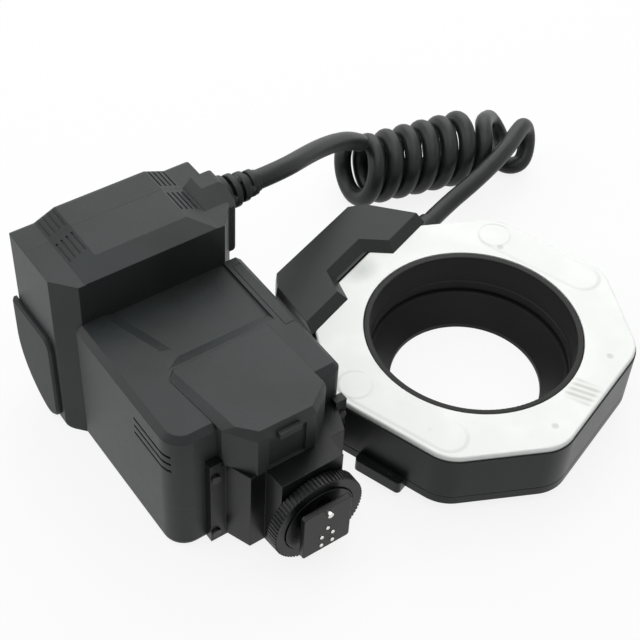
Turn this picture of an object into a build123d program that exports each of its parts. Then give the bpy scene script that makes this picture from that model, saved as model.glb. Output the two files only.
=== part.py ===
"""Macro ring flash: a ring light head for the front of a lens, and the controller that sits in a
camera's accessory shoe, joined by a curly cord. It lies on its back, as it does on a table.

The origin is the middle of the lens bore, on the surface that the object lies on. +Z runs up the
optical axis, +Y runs from the controller's shoe foot to its head, and all lengths are millimetres.
"""

from build123d import *
import math
import os

os.makedirs("parts", exist_ok=True)

# Clearances and shared values
overrun = 1.0
sliding_gap = 0.1
seat_gap = 0.15

# Ring head: lens adapter, with a 62 mm filter thread
lens_thread_radius = 31.0
lens_thread_length = 3.2
lens_thread_wall = 2.6
adapter_clear_radius = lens_thread_radius - lens_thread_wall
adapter_clear_length = 1.8
adapter_top = 12.0
adapter_rim_width = 1.3
adapter_running_gap = 0.07
adapter_groove_height = 5.0
adapter_groove_width = 2.0
adapter_groove_depth = 0.8

# Ring head: bore sleeve
bore_spread = 6.8
bore_radius = lens_thread_radius + bore_spread
rim_width = 2.4
rim_radius = bore_radius + rim_width
rim_drop = 0.2
bore_step_height = 16.0
bore_step = 0.6
rim_fillet = 0.5

# Ring head: outline and levels
ring_turn = 19.7
ring_side_width = 17.7
ring_end_width = 13.2
ring_side_flat = rim_radius + ring_side_width
ring_end_flat = rim_radius + ring_end_width
ring_diagonal_flat = ring_side_flat
ring_corner_radius = 15.0
ring_wall = 2.0
ring_top = 28.8
ring_seam = 8.1
ring_underside = 2.4
back_plate_floor = 2.0
back_plate_chamfer = 1.6
seam_chamfer = 0.5

# Ring head: front diffuser
diffuser_thickness = 2.2
diffuser_inset = 0.5
diffuser_edge_radius = 0.8
diffuser_skirt_depth = 2.4
diffuser_skirt_wall = 1.2

# Ring head: deck, board, lamps and fasteners
deck_height = 12.0
deck_thickness = 1.5
board_thickness = 1.6
ring_board_margin = 2.9
ring_board_outer_radius = ring_end_flat - ring_board_margin
ring_board_gap = 1.0
boss_offset = 6.2
boss_circle_radius = rim_radius + boss_offset
boss_radius = 2.8
ring_screw_count = 4
ring_screw_turn = 45
screw_shank_radius = 1.0
screw_head_radius = 2.0
screw_head_height = 1.2
screw_recess = 0.3
reflector_offset = 8.1
reflector_middle = rim_radius + reflector_offset
reflector_half_width = 6.3
reflector_depth = 9.5
reflector_sheet = 0.8
reflector_length = 44.0
reflector_shares = [(-1.0, 1.0), (-0.72, 0.3), (-0.32, 0.0), (0.32, 0.0), (0.72, 0.3), (1.0, 1.0)]
flash_tube_radius = 2.3
flash_tube_length = 34.0
flash_tube_lift = 5.0
electrode_radius = 1.3
electrode_length = 3.5
modelling_lamp_radius = 3.6
modelling_lamp_height = 7.0
modelling_lamp_offset = 6.4
modelling_lamp_middle = rim_radius + modelling_lamp_offset
modelling_lamp_rim = 0.8

# Ring head: release buttons
release_travel = 1.5
release_sunk = 4.5
release_proud = 3.7
release_inner = ring_side_flat - release_sunk
release_outer = ring_side_flat + release_proud
release_half_width = 9.5
release_top_gap = 0.2
release_bottom_gap = 0.3
release_side_gap = 0.3
release_stem_gap = 1.8
release_stem_inner = rim_radius + release_stem_gap
release_stem_half_width = 4.0
release_stem_bottom = 5.4
release_stem_top = 7.2
release_corner_radius = 1.6
release_groove_half_width = 5.5
release_groove_low = 1.4
release_groove_high = 2.2
release_groove_depth = 0.6

# Ring head: arm that carries the cord
arm_top = 32.3
arm_lap = 8.4
arm_inner_edge = ring_end_flat - arm_lap
arm_inner_half_width = 38.0
arm_reach = 18.4
arm_outer_edge = ring_end_flat + arm_reach
arm_outer_half_width = 24.0
arm_shoulder_drop = 4.3
arm_shoulder_edge = arm_outer_edge - arm_shoulder_drop
arm_shoulder_half_width = 29.6
arm_bevel = 3.6
arm_end_bevel = 0.9
arm_notch_depth = 9.5
arm_notch_edge = arm_inner_edge + arm_notch_depth
arm_notch_half_width = 9.0
arm_notch_mouth_half_width = 15.4
arm_notch_spread = 2.0
arm_wall = 2.2
arm_underside = 3.0

# Cord boots and the cord
cord_diameter = 7.4
cord_radius = cord_diameter / 2
arm_boot_offset = 4.5
arm_boot_across = arm_inner_edge + arm_boot_offset
arm_boot_height = 17.0
arm_boot_start = 34.0
arm_boot_end = 50.0
arm_boot_root_radius = 5.3
arm_boot_tip_radius = 4.5
boot_ring_count = 4
boot_ring_share = 0.6
boot_groove_depth = 1.0

# Controller body
body_low_x = -131.0
body_high_x = -66.0
body_end_y = -7.0
body_head_y = 54.0
body_top = 56.5
body_seam = 21.0
body_wall = 2.2
body_top_wall = 2.4
body_left_corner_radius = 8.0
body_right_corner_radius = 3.0
body_top_chamfer = 2.2
body_bottom_fillet = 3.0
back_floor = 2.4

# Controller body: soft recess on the front and the cooling slots
recess_depth = 1.0
recess_outer_x = -121.0
recess_inner_x = -113.0
recess_right_x = -73.4
recess_low_y = 21.6
recess_ramp = 4.0
vent_count = 3
vent_spacing = 3.5
vent_low_z = 40.4
vent_width = 1.2
vent_depth = 1.2
vent_low_y = -3.6
vent_high_y = 17.0

# Controller front panel
panel_skirt_low_z = 40.0
panel_far_z = 56.9
panel_near_z = 60.6
panel_far_y = 20.6
panel_near_y = -19.6
panel_left_x = -117.3
panel_left_near_x = -114.4
panel_right_x = -76.6
panel_corner = 3.2
panel_near_corner_x = 7.0
panel_near_corner_y = 7.0
panel_bevel = 3.0
panel_wall = 2.0
latch_middle_x = -96.0
latch_half_width = 4.2
latch_low_z = 54.6
latch_height = 2.6
latch_proud = 1.6
latch_travel = 1.2
latch_length = 5.0
latch_window_half_width = 7.0
latch_window_depth = 0.9
latch_window_drop = 14.0

# Battery door, tray and cells
door_low_y = 17.8
door_high_y = 50.6
door_low_z = 26.0
door_hinge_x = -71.7
door_wall = 2.2
door_plate_thickness = 0.5
cell_radius = 7.0
cell_length = 49.2
cell_nub_length = 1.3
cell_nub_radius = 2.7
cell_left_x = -119.6
cell_gap = 0.1
tray_wall = 1.0
tray_right_x = -72.2
contact_sheet = 0.4

# Controls on the back
back_pocket_depth = 0.8
back_pocket_margin = 3.6
display_middle_x = -98.5
display_middle_y = 33.0
display_width = 42.0
display_length = 26.0
display_thickness = 1.4
display_module_margin = 2.5
display_module_height = 4.0
running_gap = 0.08
flange_gap = 0.1
button_radius = 3.4
button_flange = 1.0
button_flange_height = 1.0
button_lift = 0.35
button_stem_radius = 1.5
button_stem_top = 6.4
button_row_y = 10.5
button_pitch = 11.0
test_button_x = -80.0
lower_row_y = 1.0
switch_middle_x = -112.0
switch_knob_width = 4.0
switch_knob_length = 4.6
switch_travel = 5.0
switch_flange = 0.9
control_board_height = 12.0
control_board_margin = 1.8
board_post_radius = 2.0
board_post_margin = 2.0

# Controller head
head_low_x = -135.5
head_high_x = -65.5
head_far_y = 91.0
head_seam_y = 78.0
head_top = 77.0
head_shoulder = 73.6
head_wall = 2.4
head_low_flat = 9.5
head_ramp = 8.0
head_heel_radius = 27.0
head_far_fillet = 2.5
head_corner_x = 7.0
head_corner_y = 8.0
head_facet_depth = 7.5
head_facet_drop = 3.2
lobe_right_x = -62.5
lobe_left_x = -74.5
lobe_low_z = 52.0
lobe_low_y = 61.5
lobe_fillet = 2.0
lobe_facet_length = 9.5
lobe_facet_drop = 4.4
lobe_side_slope = 3.2
rib_count = 4
rib_spacing = 2.1
rib_width = 0.7
rib_depth = 0.5
rib_length = 10.0
cap_top = 43.0
cap_proud = 2.0
cap_near_bottom_radius = 7.0
cap_near_top_radius = 5.0
cap_edge_chamfer = 0.8
cap_margin = 0.1
capacitor_radius = 12.5
capacitor_length = 52.0
capacitor_middle_y = 72.0
capacitor_middle_z = 40.0
head_boot_y = 73.5
head_boot_z = 67.8
head_boot_end_x = -46.5
head_boot_root_radius = 7.0
head_boot_tip_radius = 4.9

# Foot bracket and shoe foot
foot_x = -91.4
foot_z = 19.8
bracket_low_z = 3.0
bracket_high_z = 39.9
flange_low_x = -119.2
flange_high_x = -65.6
flange_low_z = 2.0
flange_high_z = 42.0
flange_ear = 4.4
flange_depth = 3.2
bracket_wide_half_width = 22.0
bracket_middle_half_width = 18.4
bracket_front_half_width = 12.6
bracket_front_slant = 0.6
bracket_middle_depth = 12.4
bracket_depth = 20.6
bracket_wall = 2.4
foot_screw_height_shares = (0.1, 0.83)
foot_screw_inset = 2.0
foot_screw_head_radius = 1.7
foot_screw_head_height = 0.9
foot_screw_length = 6.2
stem_radius = 7.2
stem_root = 3.0
lock_ring_gap = 0.4
lock_ring_radius = 17.4
lock_ring_thickness = 4.4
lock_ring_recess_radius = 13.7
lock_ring_recess_depth = 1.3
knurl_count = 72
knurl_depth = 0.45
knurl_width = 0.7
clamp_radius = 13.3
clamp_thickness = 1.5
clamp_back_gap = 0.2
shoe_gap = 2.2
shoe_width = 18.6
shoe_length = 21.0
shoe_thickness = 2.0
shoe_chamfer = 0.6
pin_gap = 0.06
lock_pin_radius = 1.1
lock_pin_share = 0.4
lock_pin_proud = 1.5
lock_pin_tail = 0.4
lock_pin_clear_radius = 1.7
contact_radius = 0.75
contact_proud = 0.7
contact_root = 1.4
contact_shares = {
    "contact_pin_centre": (0.0, 0.02),
    "contact_pin_a": (-0.118, -0.157),
    "contact_pin_b": (0.118, -0.157),
    "contact_pin_c": (-0.118, -0.362),
    "contact_pin_d": (0.118, -0.362),
}

# Coil of the cord
coil_axis_turn = -13.6
coil_start_x = 23.6
coil_start_y = 107.0
coil_radius = 11.4
coil_first_radius = 12.6
coil_first_share = 0.9
coil_lift = 0.05
coil_lean = 2.1
coil_growth = 1.0
coil_end_draw = 1.9
coil_end_share = 0.7
coil_pitch = 8.25
coil_turns = 7.0
coil_start_angle = 60.0
coil_exit_advance = 4.6
coil_exit_share = 0.2
coil_arcs = 34
coil_slope_step = 0.0001

# Routes of the cord's two plain lengths, from the hand-placed corners
bend_share = 0.45
lead_corners = [
    (-35.0, 73.5, 67.8),
    (-20.0, 80.8, 62.2),
    (-6.0, 88.2, 55.4),
    (8.0, 95.2, 47.4),
    (18.2, 99.8, 39.8),
]
lead_last_run = 6.0
return_first_run = 5.0
return_corners = [
    (98.7, 102.6, 13.4),
    (100.2, 98.4, 8.0),
    (97.8, 94.4, 4.7),
    (93.4, 92.1, 3.8),
    (92.0, 87.4, 3.8),
    (94.5, 83.0, 4.3),
    (99.2, 82.0, 5.6),
    (103.7, 85.2, 9.5),
    (105.2, 88.0, 15.2),
    (102.4, 88.0, 20.6),
    (95.8, 84.4, 22.6),
    (81.5, 76.8, 22.4),
    (62.0, 71.0, 20.4),
]
return_last_run = 14.0

ring_frame = Plane(
    origin=(0, 0, 0),
    x_dir=(math.cos(math.radians(ring_turn)), math.sin(math.radians(ring_turn)), 0),
    z_dir=(0, 0, 1),
)
deck_top = deck_height + deck_thickness
plate_floor_top = ring_underside + back_plate_floor
housing_top = ring_top - diffuser_thickness


def slab(x_low, x_high, y_low, y_high, z_low, z_high, plane=Plane.XY, mode=Mode.ADD):
    """A box between two corners, in the part being built."""
    with BuildSketch(plane.offset(z_low)) as profile:
        with Locations(((x_low + x_high) / 2, (y_low + y_high) / 2)):
            Rectangle(x_high - x_low, y_high - y_low)
    extrude(profile.sketch, amount=z_high - z_low, mode=mode)


def prism(points, z_low, z_high, plane=Plane.XY, mode=Mode.ADD):
    """A straight prism on an outline of points, in the part being built."""
    with BuildSketch(plane.offset(z_low)) as profile:
        with BuildLine():
            Polyline(points, close=True)
        make_face()
    extrude(profile.sketch, amount=z_high - z_low, mode=mode)


def disc(radius, z_low, z_high, places=((0, 0),), plane=Plane.XY, mode=Mode.ADD):
    """Round bars or holes at the given places, in the part being built."""
    with BuildSketch(plane.offset(z_low)) as profile:
        with Locations(*places):
            Circle(radius)
    extrude(profile.sketch, amount=z_high - z_low, mode=mode)


def turned(points, axis_plane, mode=Mode.ADD):
    """A turned piece: a profile of (along, radius) points about the plane's own X axis."""
    with BuildSketch(axis_plane) as profile:
        with BuildLine():
            Polyline(points, close=True)
        make_face()
    revolve(profile.sketch, axis=Axis(axis_plane.origin, axis_plane.x_dir), mode=mode)


def octagon(z_low, z_high, inset=0, mode=Mode.ADD):
    """The ring's eight-sided outline with rounded corners, as a straight prism."""
    side = ring_side_flat - inset
    end = ring_end_flat - inset
    diagonal = (ring_diagonal_flat - inset) * math.sqrt(2)
    first = [(side, diagonal - side), (diagonal - end, end)]
    second = [(-x, y) for x, y in reversed(first)]
    upper = first + second
    lower = [(-x, -y) for x, y in upper]
    with BuildSketch(ring_frame.offset(z_low)) as outline:
        with BuildLine():
            Polyline(upper + lower, close=True)
        make_face()
        fillet(outline.vertices(), ring_corner_radius - inset)
    extrude(outline.sketch, amount=z_high - z_low, mode=mode)


def ring_screw_places():
    """Places of the ring's screws, in the ring's own frame."""
    angles = [ring_screw_turn + 360 * step / ring_screw_count for step in range(ring_screw_count)]
    return [
        (
            boss_circle_radius * math.cos(math.radians(angle)),
            boss_circle_radius * math.sin(math.radians(angle)),
        )
        for angle in angles
    ]


def make_front_diffuser():
    skirt_inset = ring_wall + seat_gap
    with BuildPart() as front_diffuser:
        octagon(housing_top, ring_top, diffuser_inset)
        rim = front_diffuser.faces().sort_by(Axis.Z)[-1].edges()
        fillet(rim, diffuser_edge_radius)
        octagon(housing_top - diffuser_skirt_depth, housing_top, skirt_inset)
        octagon(
            housing_top - diffuser_skirt_depth - overrun,
            housing_top,
            skirt_inset + diffuser_skirt_wall,
            mode=Mode.SUBTRACT,
        )
        disc(rim_radius + seat_gap, 0, ring_top + overrun, mode=Mode.SUBTRACT)
    front_diffuser.part.label = "front_diffuser"
    export_step(front_diffuser.part, "parts/front_diffuser.step")


def make_ring_housing():
    with BuildPart() as ring_housing:
        octagon(ring_seam, housing_top)
        octagon(ring_seam - overrun, housing_top + overrun, ring_wall, mode=Mode.SUBTRACT)
        octagon(deck_height, deck_top, ring_wall)
        disc(boss_radius, plate_floor_top, deck_height, ring_screw_places(), ring_frame)
        disc(
            screw_shank_radius,
            plate_floor_top - overrun,
            deck_height,
            ring_screw_places(),
            ring_frame,
            mode=Mode.SUBTRACT,
        )
        disc(rim_radius + seat_gap, 0, ring_top, mode=Mode.SUBTRACT)
    ring_housing.part.label = "ring_housing"
    export_step(ring_housing.part, "parts/ring_housing.step")


def make_ring_back_plate():
    notch_inner = release_inner - release_travel - release_side_gap
    notch_half = release_half_width + release_side_gap
    with BuildPart() as ring_back_plate:
        octagon(ring_underside, ring_seam)
        chamfer(ring_back_plate.faces().sort_by(Axis.Z)[0].edges(), back_plate_chamfer)
        chamfer(ring_back_plate.faces().sort_by(Axis.Z)[-1].edges(), seam_chamfer)
        octagon(plate_floor_top, ring_seam + overrun, ring_wall, mode=Mode.SUBTRACT)
        disc(bore_radius - bore_step + seat_gap, 0, ring_seam, mode=Mode.SUBTRACT)
        for side in (1, -1):
            reach = sorted((side * notch_inner, side * (ring_side_flat + overrun)))
            slab(*reach, -notch_half, notch_half, 0, ring_seam + overrun, ring_frame, mode=Mode.SUBTRACT)
        disc(
            screw_head_radius,
            0,
            ring_underside + screw_recess + screw_head_height,
            ring_screw_places(),
            ring_frame,
            mode=Mode.SUBTRACT,
        )
        disc(screw_shank_radius, 0, ring_seam, ring_screw_places(), ring_frame, mode=Mode.SUBTRACT)
    ring_back_plate.part.label = "ring_back_plate"
    export_step(ring_back_plate.part, "parts/ring_back_plate.step")


def make_ring_screws():
    head_low = ring_underside + screw_recess
    with BuildPart() as ring_screws:
        disc(screw_head_radius, head_low, head_low + screw_head_height, ring_screw_places(), ring_frame)
        disc(screw_shank_radius, head_low, deck_height, ring_screw_places(), ring_frame)
    ring_screws.part.label = "ring_screws"
    export_step(ring_screws.part, "parts/ring_screws.step")


def make_bore_sleeve():
    rim_top = ring_top - rim_drop
    lower_radius = bore_radius - bore_step
    axis_plane = Plane(origin=(0, 0, 0), x_dir=(0, 0, 1), z_dir=(0, -1, 0))
    profile = [
        (plate_floor_top, lower_radius),
        (bore_step_height, lower_radius),
        (bore_step_height + bore_step, bore_radius),
        (rim_top, bore_radius),
        (rim_top, rim_radius),
        (plate_floor_top, rim_radius),
    ]
    with BuildPart() as bore_sleeve:
        turned(profile, axis_plane)
        fillet(bore_sleeve.faces().sort_by(Axis.Z)[-1].edges(), rim_fillet)
    bore_sleeve.part.label = "bore_sleeve"
    export_step(bore_sleeve.part, "parts/bore_sleeve.step")


def make_lens_adapter_ring():
    outer = bore_radius - bore_step - adapter_running_gap
    groove_high = adapter_groove_height + adapter_groove_width
    axis_plane = Plane(origin=(0, 0, 0), x_dir=(0, 0, 1), z_dir=(0, -1, 0))
    profile = [
        (0, adapter_clear_radius),
        (0, lens_thread_radius),
        (lens_thread_length, lens_thread_radius),
        (lens_thread_length, outer),
        (adapter_groove_height, outer),
        (adapter_groove_height, outer - adapter_groove_depth),
        (groove_high, outer - adapter_groove_depth),
        (groove_high, outer),
        (adapter_top, outer),
        (adapter_top, outer - adapter_rim_width),
        (adapter_clear_length, adapter_clear_radius),
    ]
    with BuildPart() as lens_adapter_ring:
        turned(profile, axis_plane)
    lens_adapter_ring.part.label = "lens_adapter_ring"
    export_step(lens_adapter_ring.part, "parts/lens_adapter_ring.step")


def make_ring_circuit_board():
    board_low = deck_height - board_thickness
    with BuildPart() as ring_circuit_board:
        disc(ring_board_outer_radius, board_low, deck_height)
        disc(rim_radius + ring_board_gap, board_low - overrun, deck_height + overrun, mode=Mode.SUBTRACT)
        disc(
            boss_radius + seat_gap,
            board_low - overrun,
            deck_height + overrun,
            ring_screw_places(),
            ring_frame,
            mode=Mode.SUBTRACT,
        )
    ring_circuit_board.part.label = "ring_circuit_board"
    export_step(ring_circuit_board.part, "parts/ring_circuit_board.step")


def trough(half_width, depth, middle, lift, length):
    """A reflector's trough shape, running along the ring's own Y axis."""
    across = Plane(origin=ring_frame.origin, x_dir=ring_frame.x_dir, z_dir=-ring_frame.y_dir)
    points = [(middle + x * half_width, lift + z * depth) for x, z in reflector_shares]
    prism(points, -length / 2, length / 2, across)


def make_reflectors():
    for name, side in (("reflector_a", 1), ("reflector_b", -1)):
        middle = side * reflector_middle
        inner_half = reflector_half_width - reflector_sheet
        across = Plane(origin=ring_frame.origin, x_dir=ring_frame.x_dir, z_dir=-ring_frame.y_dir)
        hollow = [
            (middle + x * inner_half, deck_top + reflector_sheet + z * reflector_depth)
            for x, z in reflector_shares
        ]
        with BuildPart() as reflector:
            trough(reflector_half_width, reflector_depth, middle, deck_top, reflector_length)
            prism(hollow, -reflector_length, reflector_length, across, mode=Mode.SUBTRACT)
        reflector.part.label = name
        export_step(reflector.part, f"parts/{name}.step")


def make_flash_tubes():
    for name, side in (("flash_tube_a", 1), ("flash_tube_b", -1)):
        along = Plane(
            origin=ring_frame.from_local_coords((side * reflector_middle, 0, deck_top + flash_tube_lift)),
            x_dir=ring_frame.x_dir,
            z_dir=ring_frame.y_dir,
        )
        half = flash_tube_length / 2
        with BuildPart() as flash_tube:
            disc(flash_tube_radius, -half, half, plane=along)
            disc(electrode_radius, -half - electrode_length, half + electrode_length, plane=along)
        flash_tube.part.label = name
        export_step(flash_tube.part, f"parts/{name}.step")


def make_modelling_lamps():
    for name, side in (("modelling_lamp_a", 1), ("modelling_lamp_b", -1)):
        place = [(0, side * modelling_lamp_middle)]
        with BuildPart() as modelling_lamp:
            disc(modelling_lamp_radius, deck_top, deck_top + modelling_lamp_height, place, ring_frame)
            fillet(modelling_lamp.faces().sort_by(Axis.Z)[-1].edges(), modelling_lamp_radius / 2)
            disc(
                modelling_lamp_radius + modelling_lamp_rim,
                deck_top,
                deck_top + modelling_lamp_rim,
                place,
                ring_frame,
            )
        modelling_lamp.part.label = name
        export_step(modelling_lamp.part, f"parts/{name}.step")


def make_release_buttons():
    for name, side in (("release_button_right", 1), ("release_button_left", -1)):
        low = ring_underside + release_bottom_gap
        high = ring_seam - release_top_gap
        block = sorted((side * release_inner, side * release_outer))
        stem = sorted((side * release_stem_inner, side * (release_inner + overrun)))
        groove_low = release_outer - release_groove_high
        groove = sorted((side * groove_low, side * (release_outer - release_groove_low)))
        with BuildPart() as release_button:
            with BuildSketch(ring_frame.offset(low)) as outline:
                with Locations((side * (release_inner + release_outer) / 2, 0)):
                    Rectangle(release_outer - release_inner, release_half_width * 2)
                outer_corners = outline.vertices().sort_by(lambda corner: corner.distance_to((0, 0, low)))[2:]
                fillet(outer_corners, release_corner_radius)
            extrude(outline.sketch, amount=high - low)
            slab(
                *groove,
                -release_groove_half_width,
                release_groove_half_width,
                high - release_groove_depth,
                high + overrun,
                ring_frame,
                mode=Mode.SUBTRACT,
            )
            slab(
                *stem,
                -release_stem_half_width,
                release_stem_half_width,
                release_stem_bottom,
                release_stem_top,
                ring_frame,
            )
        release_button.part.label = name
        export_step(release_button.part, f"parts/{name}.step")


def arm_outline(inset=0):
    """The arm seen from the front, in the ring's own frame, without its notch."""
    right = [
        (arm_inner_half_width - inset, arm_inner_edge),
        (arm_shoulder_half_width - inset, arm_shoulder_edge - inset),
        (arm_outer_half_width - inset, arm_outer_edge - inset),
    ]
    left = [(-x, y) for x, y in reversed(right)]
    return right + left


def notch_outline(spread=0, deepen=0, reach=0):
    """The notch in the arm's inner edge that leaves a modelling lamp clear."""
    mouth = arm_notch_mouth_half_width + spread
    narrow = arm_notch_half_width + spread
    return [
        (mouth, arm_inner_edge - reach),
        (mouth, arm_inner_edge + deepen),
        (narrow, arm_notch_edge + deepen),
        (-narrow, arm_notch_edge + deepen),
        (-mouth, arm_inner_edge + deepen),
        (-mouth, arm_inner_edge - reach),
    ]


def arm_boot_plane():
    """A plane whose own X axis is the axis of the arm's cord boot."""
    return Plane(
        origin=ring_frame.from_local_coords((0, arm_boot_across, arm_boot_height)),
        x_dir=ring_frame.x_dir,
        z_dir=-ring_frame.y_dir,
    )


def sloped_prism(low_points, high_points, z_low, z_high, plane, mode=Mode.ADD):
    """A block whose outline changes evenly from one level to another."""
    levels = []
    for points, level in ((low_points, z_low), (high_points, z_high)):
        with BuildSketch(plane.offset(level)) as profile:
            with BuildLine():
                Polyline(points, close=True)
            make_face()
        levels.append(profile.sketch)
    loft(levels, ruled=True, mode=mode)


def make_arm_cover():
    low_outline = arm_outline()
    high_outline = [(x * (1 - arm_end_bevel / arm_inner_half_width), y) for x, y in low_outline]
    high_outline[0] = (high_outline[0][0], arm_inner_edge + arm_bevel)
    high_outline[-1] = (high_outline[-1][0], arm_inner_edge + arm_bevel)
    with BuildPart() as arm_cover:
        prism(low_outline, ring_seam, ring_top, ring_frame)
        prism(
            arm_outline(arm_wall),
            ring_seam - overrun,
            ring_top - arm_wall,
            ring_frame,
            mode=Mode.SUBTRACT,
        )
        octagon(0, ring_top, mode=Mode.SUBTRACT)
        sloped_prism(low_outline, high_outline, ring_top, arm_top, ring_frame)
        sloped_prism(
            notch_outline(reach=overrun),
            notch_outline(arm_notch_spread, arm_bevel, reach=overrun),
            ring_top,
            arm_top,
            ring_frame,
            mode=Mode.SUBTRACT,
        )
        boot_plane = arm_boot_plane()
        turned(
            [
                (arm_boot_start, 0),
                (arm_boot_start, arm_boot_root_radius),
                (arm_boot_end, arm_boot_root_radius),
                (arm_boot_end, 0),
            ],
            boot_plane,
            mode=Mode.SUBTRACT,
        )
    arm_cover.part.label = "arm_cover"
    export_step(arm_cover.part, "parts/arm_cover.step")


def make_arm_base():
    with BuildPart() as arm_base:
        prism(arm_outline(), arm_underside, ring_seam, ring_frame)
        prism(arm_outline(arm_wall), arm_underside + arm_wall, ring_seam + overrun, ring_frame, mode=Mode.SUBTRACT)
        octagon(0, ring_top, mode=Mode.SUBTRACT)
    arm_base.part.label = "arm_base"
    export_step(arm_base.part, "parts/arm_base.step")


def boot_profile(start, end, root_radius, tip_radius):
    """A tapered strain relief with raised rings, as (along, radius) points from the axis out."""
    count = boot_ring_count
    pitch = (end - start) / count
    points = [(start, 0)]
    for step in range(count):
        low = start + pitch * step
        radius = root_radius + (tip_radius - root_radius) * step / (count - 1)
        high = low + pitch * boot_ring_share
        points += [(low, radius), (high, radius), (high, radius - boot_groove_depth)]
        points += [(low + pitch, radius - boot_groove_depth)]
    points += [(end, 0)]
    return points


def make_cord_boots():
    arm_plane = arm_boot_plane()
    with BuildPart() as arm_cord_boot:
        turned(
            [
                (arm_boot_start, 0),
                (arm_boot_start, arm_boot_root_radius),
                ((arm_boot_start + arm_boot_end) / 2, arm_boot_root_radius),
                (arm_boot_end, arm_boot_tip_radius),
                (arm_boot_end, 0),
            ],
            arm_plane,
        )
        octagon(0, ring_top, -seat_gap, mode=Mode.SUBTRACT)
    arm_cord_boot.part.label = "arm_cord_boot"
    export_step(arm_cord_boot.part, "parts/arm_cord_boot.step")

    head_plane = Plane(origin=(0, head_boot_y, head_boot_z), x_dir=(1, 0, 0), z_dir=(0, -1, 0))
    with BuildPart() as head_cord_boot:
        turned(
            boot_profile(lobe_right_x, head_boot_end_x, head_boot_root_radius, head_boot_tip_radius),
            head_plane,
        )
    head_cord_boot.part.label = "head_cord_boot"
    export_step(head_cord_boot.part, "parts/head_cord_boot.step")


def body_block(z_low, z_high, inset=0, mode=Mode.ADD):
    """The controller body's outline, rounded at the foot end, as a straight prism."""
    low_x = body_low_x + inset
    high_x = body_high_x - inset
    low_y = body_end_y + inset
    high_y = body_head_y - inset
    with BuildSketch(Plane.XY.offset(z_low)) as outline:
        with Locations(((low_x + high_x) / 2, (low_y + high_y) / 2)):
            Rectangle(high_x - low_x, high_y - low_y)
        right_corner = outline.vertices().group_by(Axis.X)[-1].sort_by(Axis.Y)[0]
        fillet(right_corner, body_right_corner_radius - inset)
        left_corner = outline.vertices().group_by(Axis.X)[0].sort_by(Axis.Y)[0]
        fillet(left_corner, body_left_corner_radius - inset)
    extrude(outline.sketch, amount=z_high - z_low, mode=mode)


def cut_soft_recess():
    """The shallow hollow in the controller's front, above the panel."""
    depth_z = body_top - recess_depth
    far_y = body_head_y
    upper = [
        (recess_outer_x, far_y),
        (recess_inner_x, recess_low_y + recess_ramp * 2),
        (recess_inner_x - recess_ramp / 2, recess_low_y),
        (recess_right_x, recess_low_y),
        (recess_right_x, far_y),
    ]
    lower = [
        (recess_outer_x + recess_ramp, far_y),
        (recess_inner_x + recess_ramp, recess_low_y + recess_ramp * 2),
        (recess_inner_x + recess_ramp, recess_low_y + recess_ramp),
        (recess_right_x, recess_low_y + recess_ramp),
        (recess_right_x, far_y),
    ]
    sloped_prism(upper, lower, body_top, depth_z, Plane.XY, mode=Mode.SUBTRACT)


def panel_outlines():
    """The front panel's outline at its foot, and the raised outline on its sloping top."""
    base = [
        (panel_left_x + panel_corner, panel_far_y),
        (panel_left_x, panel_far_y - panel_corner),
        (panel_left_near_x, panel_near_y + panel_near_corner_y + panel_corner),
        (panel_left_near_x + panel_near_corner_x, panel_near_y),
        (panel_right_x - panel_near_corner_x - panel_corner / 2, panel_near_y),
        (panel_right_x, panel_near_y + panel_near_corner_y),
        (panel_right_x, panel_far_y),
    ]
    top = [
        (panel_left_x + panel_corner + panel_bevel / 6, panel_far_y),
        (panel_left_x + panel_bevel, panel_far_y - panel_corner / 3),
        (panel_left_near_x + panel_bevel, panel_near_y + panel_near_corner_y),
        (panel_left_near_x + panel_near_corner_x + panel_bevel / 3, panel_near_y + panel_bevel / 3),
        (panel_right_x - panel_near_corner_x - panel_corner, panel_near_y + panel_bevel / 6),
        (panel_right_x - panel_bevel / 3, panel_near_y + panel_near_corner_y),
        (panel_right_x - panel_bevel / 6, panel_far_y),
    ]
    return base, top


def make_front_panel():
    base, top = panel_outlines()
    rise = (panel_near_z - panel_far_z) / (panel_far_y - panel_near_y)
    top_points = [(x, y, panel_far_z + (panel_far_y - y) * rise) for x, y in top]
    base_points = [(x, y, body_top) for x, y in base]
    inner = [
        (panel_left_near_x + panel_near_corner_x, panel_near_y + panel_wall * 2),
        (panel_right_x - panel_near_corner_x - panel_corner, panel_near_y + panel_wall * 2),
        (panel_right_x - panel_wall * 2, panel_near_y + panel_near_corner_y),
        (panel_right_x - panel_wall * 2, body_end_y),
        (panel_left_near_x + panel_wall * 2, body_end_y),
        (panel_left_near_x + panel_wall * 2, panel_near_y + panel_near_corner_y + panel_corner),
    ]
    near_face = Plane(origin=(0, panel_near_y, 0), x_dir=(1, 0, 0), z_dir=(0, -1, 0))
    with BuildPart() as front_panel:
        prism(base, panel_skirt_low_z, body_top)
        slab(
            body_low_x,
            body_high_x,
            body_end_y,
            body_head_y,
            panel_skirt_low_z - overrun,
            body_top,
            mode=Mode.SUBTRACT,
        )
        levels = [Face(Wire.make_polygon(points, close=True)) for points in (base_points, top_points)]
        loft(levels, ruled=True)
        prism(inner, panel_skirt_low_z - overrun, body_top - panel_wall, mode=Mode.SUBTRACT)
        slab(
            latch_middle_x - latch_window_half_width,
            latch_middle_x + latch_window_half_width,
            latch_low_z - latch_window_drop,
            latch_low_z,
            -latch_window_depth,
            overrun,
            near_face,
            mode=Mode.SUBTRACT,
        )
        slab(
            latch_middle_x - latch_half_width - sliding_gap,
            latch_middle_x + latch_half_width + sliding_gap,
            latch_low_z - sliding_gap,
            latch_low_z + latch_height + sliding_gap,
            -panel_wall * 2 - overrun,
            overrun,
            near_face,
            mode=Mode.SUBTRACT,
        )
    front_panel.part.label = "front_panel"
    export_step(front_panel.part, "parts/front_panel.step")


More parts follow.
